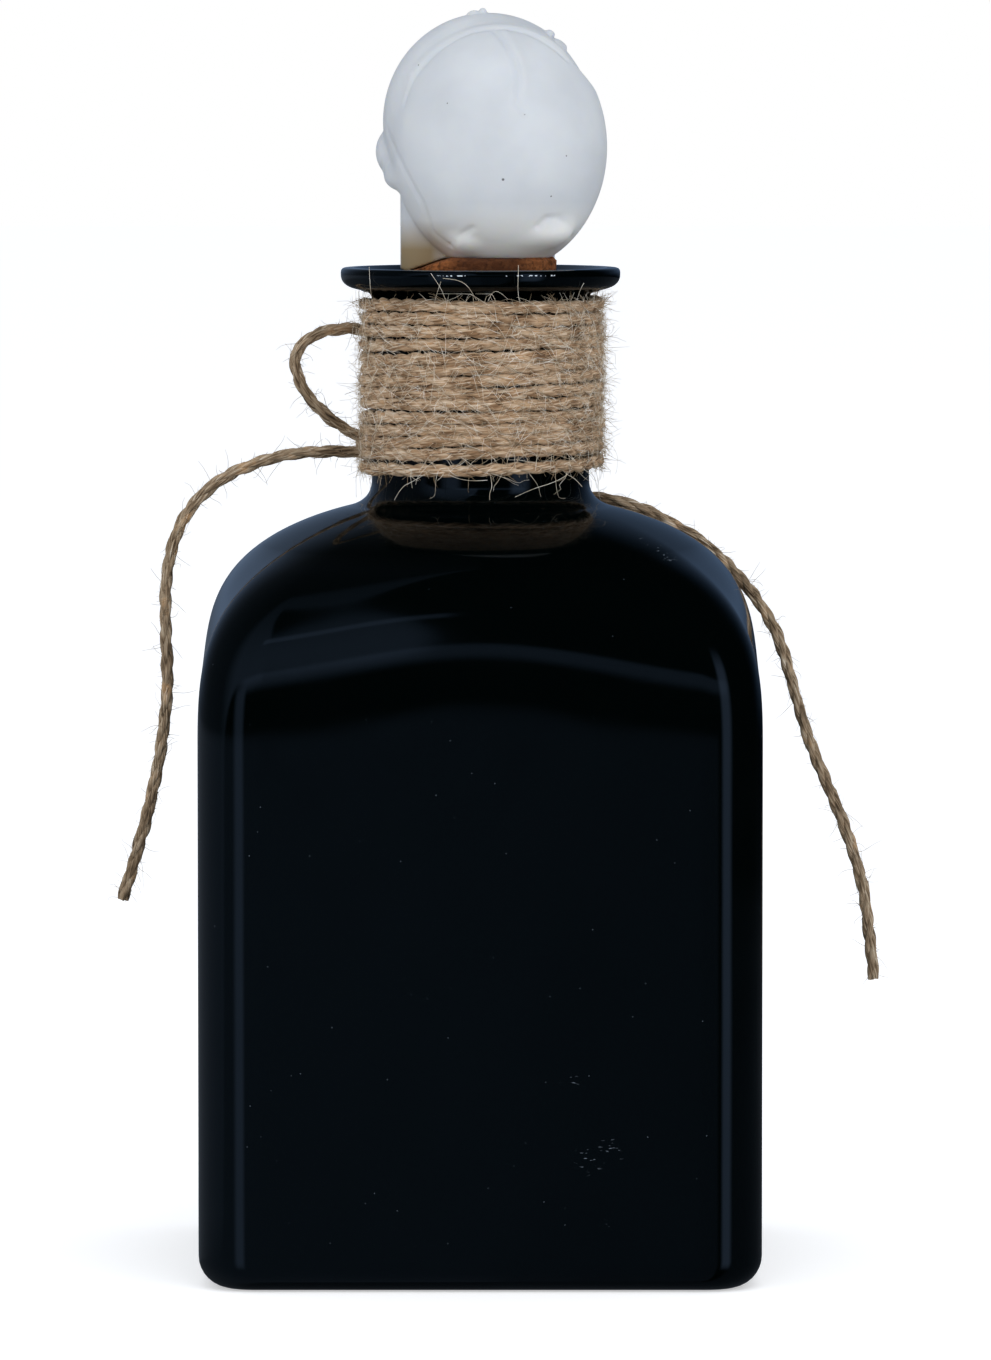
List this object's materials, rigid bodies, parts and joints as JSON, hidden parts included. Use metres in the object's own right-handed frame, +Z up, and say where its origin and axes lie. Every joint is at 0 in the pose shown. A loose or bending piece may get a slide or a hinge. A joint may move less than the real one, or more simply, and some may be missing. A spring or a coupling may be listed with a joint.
{
  "type": "stoppered poison bottle",
  "caption": "Square black glass bottle with a domed shoulder, a flared lip, a cork stopper topped by a small skull, and jute twine wound round its neck.",
  "frame": {"origin": "middle of the base, on the surface that the bottle stands on", "axes": "+Z up along the neck, -Y towards the pictured side, +X to the right in the picture"},
  "size_m": [0.1226, 0.0886, 0.1999],
  "materials": {
    "black_glass": "gloss black lacquer on glass",
    "cork": "raw agglomerated cork",
    "glue": "hot-melt glue",
    "peg_wood": "plain beech dowel",
    "skull_plastic": "moulded off-white plastic, waxy matt",
    "jute": "natural twisted jute twine, fuzzy"
  },
  "bodies": {
    "bottle": {"bottle": "black_glass", "twine_wrap": "jute", "twine_knot": "jute", "twine_loop": "jute", "twine_tail_left": "jute", "twine_tail_right": "jute"},
    "stopper_core": {"fixing_peg": "peg_wood"},
    "stopper": {"cork": "cork", "glue_ring": "glue", "skull": "skull_plastic"}
  },
  "joints": [
    {"name": "stopper_pull", "type": "slide", "parent": "bottle", "child": "stopper_core", "axis": [0, 0, 1], "range_m": [0, 0.06]},
    {"name": "stopper_twist", "type": "hinge", "parent": "stopper_core", "child": "stopper", "pos_m": [0, 0, 0.16], "axis": [0, 0, 1], "continuous": true}
  ]
}
